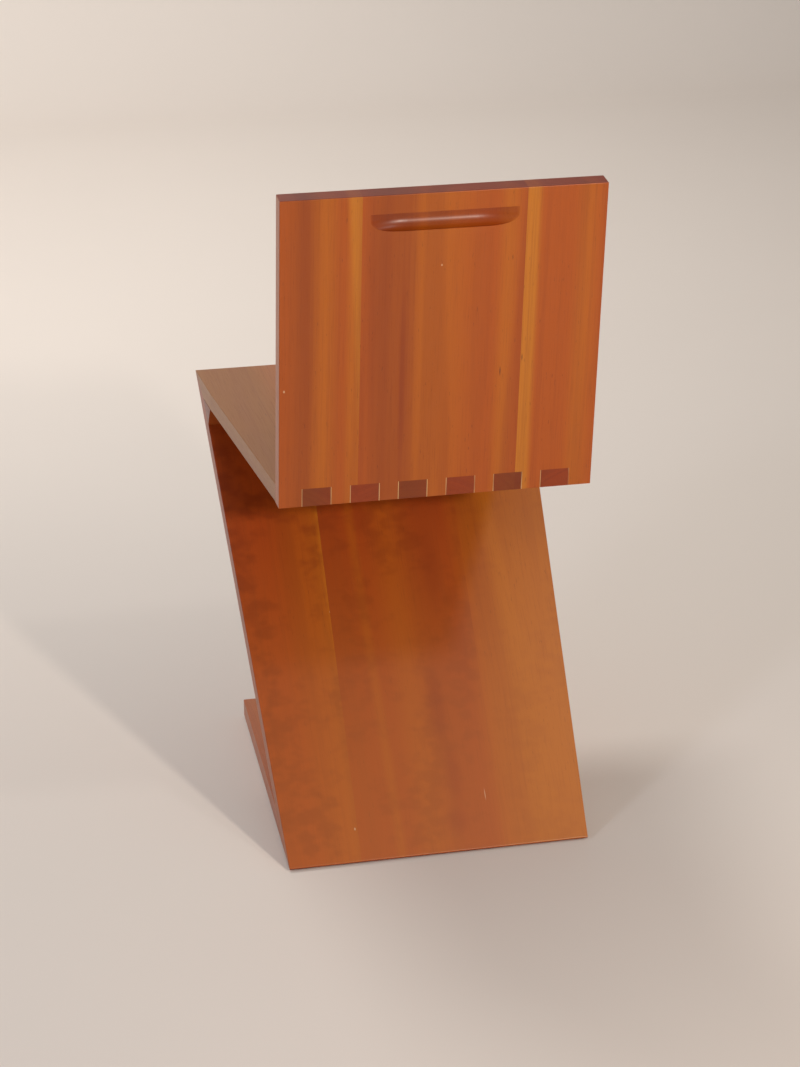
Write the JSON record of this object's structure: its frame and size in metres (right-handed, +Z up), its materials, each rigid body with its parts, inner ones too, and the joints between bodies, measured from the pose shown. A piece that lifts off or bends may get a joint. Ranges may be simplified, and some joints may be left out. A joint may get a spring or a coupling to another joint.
{
  "type": "zig-zag dining chair",
  "caption": "Legless wooden chair of flat panels folded into a Z: level base, slanting support, seat and leaning back with a finger pull.",
  "frame": {"origin": "on the floor, under the middle of the chair's bounding box", "axes": "+Z up, the sitter faces -Y, the sitter's left is +X"},
  "size_m": [0.3798, 0.4385, 0.7404],
  "materials": {
    "back_left_cherry": "satin lacquered cherry",
    "back_middle_cherry": "satin lacquered cherry",
    "back_right_cherry": "satin lacquered cherry",
    "seat_left_cherry": "satin lacquered cherry",
    "seat_middle_cherry": "satin lacquered cherry",
    "seat_right_cherry": "satin lacquered cherry",
    "leg_left_cherry": "satin lacquered cherry",
    "leg_middle_cherry": "satin lacquered cherry",
    "leg_right_cherry": "satin lacquered cherry",
    "base_left_cherry": "satin lacquered cherry",
    "base_middle_cherry": "satin lacquered cherry",
    "base_right_cherry": "satin lacquered cherry",
    "seat_wedge_cherry": "satin lacquered cherry",
    "base_wedge_cherry": "satin lacquered cherry",
    "tongue_beech": "bare beech",
    "screw_brass": "turned brass",
    "glide_nylon": "matt nylon"
  },
  "bodies": {
    "root": {"back_left_board": "back_left_cherry", "back_middle_board": "back_middle_cherry", "back_right_board": "back_right_cherry", "seat_left_board": "seat_left_cherry", "seat_middle_board": "seat_middle_cherry", "seat_right_board": "seat_right_cherry", "leg_left_board": "leg_left_cherry", "leg_middle_board": "leg_middle_cherry", "leg_right_board": "leg_right_cherry", "base_left_board": "base_left_cherry", "base_middle_board": "base_middle_cherry", "base_right_board": "base_right_cherry", "seat_wedge": "seat_wedge_cherry", "base_wedge": "base_wedge_cherry", "seat_mitre_tongue": "tongue_beech", "seat_wedge_tongue": "tongue_beech", "base_mitre_tongue": "tongue_beech", "base_wedge_tongue": "tongue_beech", "seat_screws": "screw_brass", "base_screws": "screw_brass", "glide_front_left": "glide_nylon", "glide_front_right": "glide_nylon", "glide_rear_left": "glide_nylon", "glide_rear_right": "glide_nylon"}
  },
  "joints": []
}
